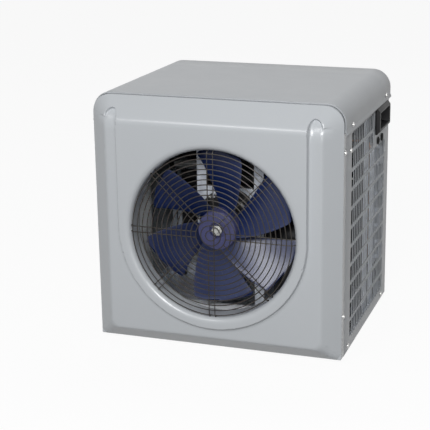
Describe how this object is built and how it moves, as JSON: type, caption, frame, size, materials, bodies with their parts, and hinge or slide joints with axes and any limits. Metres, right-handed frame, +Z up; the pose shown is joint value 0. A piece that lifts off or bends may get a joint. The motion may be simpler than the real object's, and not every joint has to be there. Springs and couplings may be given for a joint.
{
  "type": "heat pump unit",
  "caption": "Cube-shaped pool heat pump cabinet with a front fan behind a round wire guard, slotted side and rear grilles, recessed carry handles and rear water ports.",
  "frame": {"origin": "middle of the footprint, on the surface the rubber feet stand on", "axes": "+X to the unit's own right-hand grille as seen from the front, +Y to the rear with the water ports, +Z up; the fan faces -Y"},
  "size_m": [0.3736, 0.343, 0.3637],
  "materials": {
    "front_panel": "satin moulded plastic",
    "casing": "light grey powder coat",
    "galvanised": "zinc coated sheet",
    "fins": "dark coated fins",
    "black_plastic": "fine grained moulding",
    "black_steel": "semi-gloss black enamel",
    "rubber": "matt moulded rubber",
    "guard_wire": "dark coated wire",
    "fan": "deep blue moulding",
    "steel": "bright zinc plate",
    "copper": "drawn copper tube, lightly tarnished",
    "titanium": "drawn titanium tube",
    "board": "green circuit board"
  },
  "bodies": {
    "cabinet": {"base_tray": "galvanised", "cable_gland_1": "rubber", "cable_gland_2": "rubber", "carry_handle_left": "black_plastic", "carry_handle_right": "black_plastic", "compressor": "black_steel", "compressor_mount_1": "rubber", "compressor_mount_2": "rubber", "compressor_mount_3": "rubber", "compressor_terminal_cover": "black_plastic", "control_board": "board", "cover_screw_left_front": "steel", "cover_screw_left_rear": "steel", "cover_screw_right_front": "steel", "cover_screw_right_rear": "steel", "discharge_pipe": "copper", "drain_pan": "black_plastic", "electrical_box": "black_plastic", "electrical_box_lid": "black_plastic", "evaporator_end_plate_left": "galvanised", "evaporator_end_plate_right": "galvanised", "evaporator_fins": "fins", "exchanger_lid": "black_plastic", "exchanger_tank": "black_plastic", "expansion_capillary": "copper", "fan_guard": "guard_wire", "fan_motor": "black_steel", "filter_drier": "copper", "front_panel": "front_panel", "left_side_panel": "casing", "liquid_pipe": "copper", "motor_bracket": "galvanised", "panel_screw_left_lower": "steel", "panel_screw_left_upper": "steel", "panel_screw_right_lower": "steel", "panel_screw_right_upper": "steel", "rear_panel": "casing", "right_side_panel": "casing", "rubber_foot_left_front": "rubber", "rubber_foot_left_rear": "rubber", "rubber_foot_right_front": "rubber", "rubber_foot_right_rear": "rubber", "run_capacitor": "steel", "suction_accumulator": "black_steel", "suction_pipe": "copper", "titanium_coil": "titanium", "top_cover": "casing", "water_inlet_port": "black_plastic", "water_outlet_port": "black_plastic", "water_outlet_riser": "black_plastic"},
    "fan": {"fan_impeller": "fan", "fan_nut": "steel", "motor_rotor": "steel"}
  },
  "joints": [
    {"name": "fan_spin", "type": "hinge", "parent": "cabinet", "child": "fan", "pos_m": [0, -0.1455, 0.1765], "axis": [0, 1, 0], "continuous": true}
  ]
}
